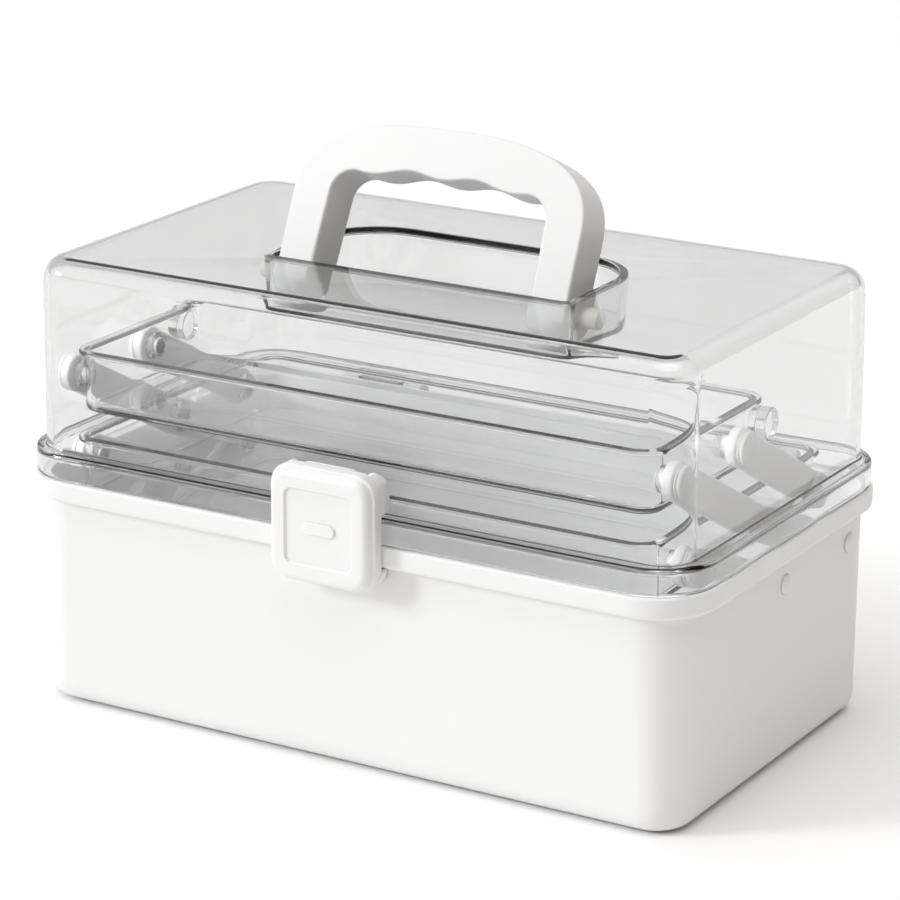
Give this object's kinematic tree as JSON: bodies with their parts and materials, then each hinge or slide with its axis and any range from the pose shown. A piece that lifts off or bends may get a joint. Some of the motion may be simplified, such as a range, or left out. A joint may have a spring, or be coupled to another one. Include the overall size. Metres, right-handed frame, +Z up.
{
  "type": "medicine storage box",
  "caption": "Carrying box for medicines: deep tub, clear hinged lid with a folding handle, front latch, and clear trays that rise and fold back on linked arms.",
  "frame": {"origin": "centre of the flat underside of the tub", "axes": "+X along the width to the right seen from the front, +Y from the front to the rear hinges, +Z up"},
  "size_m": [0.314, 0.2063, 0.2446],
  "materials": {
    "white_plastic": "glossy white polypropylene",
    "arm_plastic": "glossy white polypropylene",
    "clear_plastic": "polished clear polystyrene",
    "cream_plastic": "smooth cream plastic",
    "steel_pin": "drawn steel wire"
  },
  "bodies": {
    "tub": {"base_tub": "white_plastic", "hinge_pin_left": "steel_pin", "hinge_pin_right": "steel_pin", "tub_pins_left": "white_plastic", "tub_pins_right": "white_plastic"},
    "lid": {"lid_shell": "clear_plastic"},
    "latch_plate": {"latch": "white_plastic"},
    "carry_handle": {"handle": "white_plastic", "handle_pin_left": "cream_plastic", "handle_pin_right": "cream_plastic"},
    "middle_level": {"middle_tray": "clear_plastic", "middle_tray_pins_left": "white_plastic", "middle_tray_pins_right": "white_plastic", "elbow_pin_left": "white_plastic", "elbow_pin_right": "white_plastic"},
    "upper_level": {"upper_tray": "clear_plastic", "upper_tray_pins_left": "white_plastic", "upper_tray_pins_right": "white_plastic"},
    "long_arms": {"long_arm_left": "arm_plastic", "long_arm_right": "arm_plastic"},
    "lower_arms": {"lower_arm_left": "arm_plastic", "lower_arm_right": "arm_plastic"},
    "upper_arms": {"upper_arm_left": "arm_plastic", "upper_arm_right": "arm_plastic"}
  },
  "joints": [
    {"name": "lid_hinge", "type": "hinge", "parent": "tub", "child": "lid", "pos_m": [0, 0.0986, 0.0992], "axis": [-1, 0, 0], "range_deg": [0, 110]},
    {"name": "latch_hinge", "type": "hinge", "parent": "lid", "child": "latch_plate", "pos_m": [0, -0.0925, 0.1235], "axis": [-1, 0, 0], "range_deg": [0, 75]},
    {"name": "handle_hinge", "type": "hinge", "parent": "lid", "child": "carry_handle", "pos_m": [0, -0.019, 0.1798], "axis": [-1, 0, 0], "range_deg": [-24, 35]},
    {"name": "long_arm_swing", "type": "hinge", "parent": "tub", "child": "long_arms", "pos_m": [0, 0.061, 0.0785], "axis": [-1, 0, 0], "range_deg": [0, 62]},
    {"name": "lower_arm_swing", "type": "hinge", "parent": "tub", "child": "lower_arms", "pos_m": [0, 0.002, 0.0785], "axis": [-1, 0, 0], "range_deg": [0, 62]},
    {"name": "middle_tray_level", "type": "hinge", "parent": "long_arms", "child": "middle_level", "pos_m": [0, -0.0015, 0.103], "axis": [1, 0, 0], "range_deg": [0, 62]},
    {"name": "upper_arm_swing", "type": "hinge", "parent": "middle_level", "child": "upper_arms", "pos_m": [0, 0.0485, 0.103], "axis": [-1, 0, 0], "range_deg": [0, 62]},
    {"name": "upper_tray_level", "type": "hinge", "parent": "long_arms", "child": "upper_level", "pos_m": [0, -0.0695, 0.1395], "axis": [1, 0, 0], "range_deg": [0, 62]}
  ],
  "couplings": [
    {"joint": "long_arm_swing", "follows": "lid_hinge", "ratio": 0.5636},
    {"joint": "lower_arm_swing", "follows": "lid_hinge", "ratio": 0.5636},
    {"joint": "middle_tray_level", "follows": "lid_hinge", "ratio": 0.5636},
    {"joint": "upper_arm_swing", "follows": "lid_hinge", "ratio": 0.5636},
    {"joint": "upper_tray_level", "follows": "lid_hinge", "ratio": 0.5636}
  ]
}
